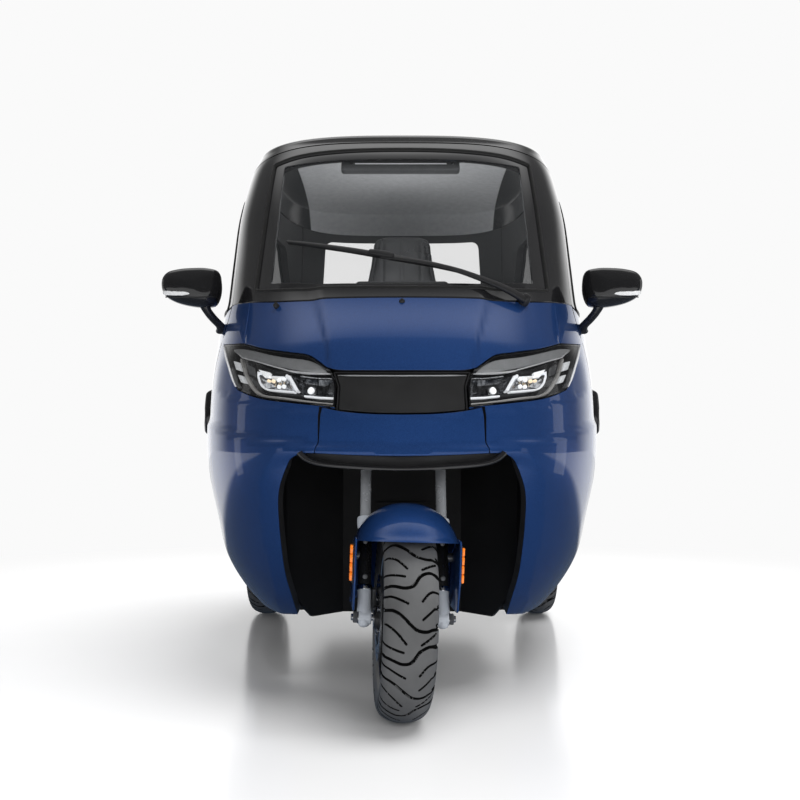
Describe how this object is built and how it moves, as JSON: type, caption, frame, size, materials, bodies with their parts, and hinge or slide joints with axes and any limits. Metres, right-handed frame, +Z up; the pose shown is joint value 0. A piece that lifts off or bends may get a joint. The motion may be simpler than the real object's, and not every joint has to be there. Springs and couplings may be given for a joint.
{
  "type": "three wheeled car",
  "caption": "Enclosed three wheeled car with a rounded two-door cabin, one steered front wheel on a fork and driven rear wheels.",
  "frame": {"origin": "on the ground, under the middle of the bounding box", "axes": "+Z up, the car faces -Y, X runs across it with its left side at +X"},
  "size_m": [1.392, 2.2593, 1.6178],
  "materials": {
    "blue_paint": "gloss metallic",
    "black_gloss": "gloss",
    "black_plastic": "satin",
    "dark_metal": "satin",
    "silver": "satin",
    "tinted_glass": "gloss",
    "lamp_clear": "gloss",
    "lamp_red": "gloss",
    "grey_satin": "satin",
    "tyre": "matte",
    "seat": "satin"
  },
  "bodies": {
    "body": {"roof_panel": "black_gloss", "windscreen_frame": "black_gloss", "windscreen_glass": "tinted_glass", "bonnet": "blue_paint", "front_bumper": "blue_paint", "front_wing_left": "blue_paint", "front_wing_right": "blue_paint", "headlight_left": "lamp_clear", "headlight_right": "lamp_clear", "grille_panel": "grey_satin", "rear_quarter_left": "blue_paint", "rear_quarter_right": "blue_paint", "quarter_glass_left": "tinted_glass", "quarter_glass_right": "tinted_glass", "tail_panel": "blue_paint", "tail_light_left": "lamp_red", "tail_light_right": "lamp_red", "rear_window_glass": "tinted_glass", "rear_bumper": "blue_paint", "floor_pan": "black_plastic", "wheel_well": "black_plastic", "dashboard": "black_plastic", "battery_pack": "black_plastic", "driver_seat": "seat", "rear_seat": "seat", "rear_axle": "dark_metal", "wiper": "black_plastic"},
    "steering": {"front_fork": "silver", "handlebar": "dark_metal", "front_mudguard": "blue_paint"},
    "front_wheel": {"front_rim": "dark_metal", "front_tyre": "tyre"},
    "rear_wheel_left": {"rear_rim_left": "dark_metal", "rear_tyre_left": "tyre"},
    "rear_wheel_right": {"rear_rim_right": "dark_metal", "rear_tyre_right": "tyre"},
    "left_door": {"door_left": "blue_paint", "door_glass_left": "tinted_glass", "door_handle_left": "black_gloss", "mirror_left": "black_gloss"},
    "right_door": {"door_right": "blue_paint", "door_glass_right": "tinted_glass", "door_handle_right": "black_gloss", "mirror_right": "black_gloss"},
    "boot": {"boot_lid": "blue_paint"}
  },
  "joints": [
    {"name": "steering", "type": "hinge", "parent": "body", "child": "steering", "pos_m": [0, -0.85022, 0.236], "axis": [0, 0.4067, 0.9135], "range_deg": [-40, 30]},
    {"name": "front_wheel_spin", "type": "hinge", "parent": "steering", "child": "front_wheel", "pos_m": [0.00349, -0.89386, 0.23594], "axis": [0.9962, 0.0796, -0.0354], "continuous": true},
    {"name": "rear_wheel_left_spin", "type": "hinge", "parent": "body", "child": "rear_wheel_left", "pos_m": [0.502, 0.656, 0.236], "axis": [1, 0, 0], "continuous": true},
    {"name": "rear_wheel_right_spin", "type": "hinge", "parent": "body", "child": "rear_wheel_right", "pos_m": [-0.502, 0.656, 0.236], "axis": [1, 0, 0], "continuous": true},
    {"name": "left_door_hinge", "type": "hinge", "parent": "body", "child": "left_door", "pos_m": [0.549, -0.309, 0.6], "axis": [0, 0, -1], "range_deg": [0, 65]},
    {"name": "right_door_hinge", "type": "hinge", "parent": "body", "child": "right_door", "pos_m": [-0.549, -0.309, 0.6], "axis": [0, 0, 1], "range_deg": [0, 65]},
    {"name": "boot_hinge", "type": "hinge", "parent": "body", "child": "boot", "pos_m": [0, 1.04, 1.108], "axis": [1, 0, 0], "range_deg": [0, 80]}
  ]
}
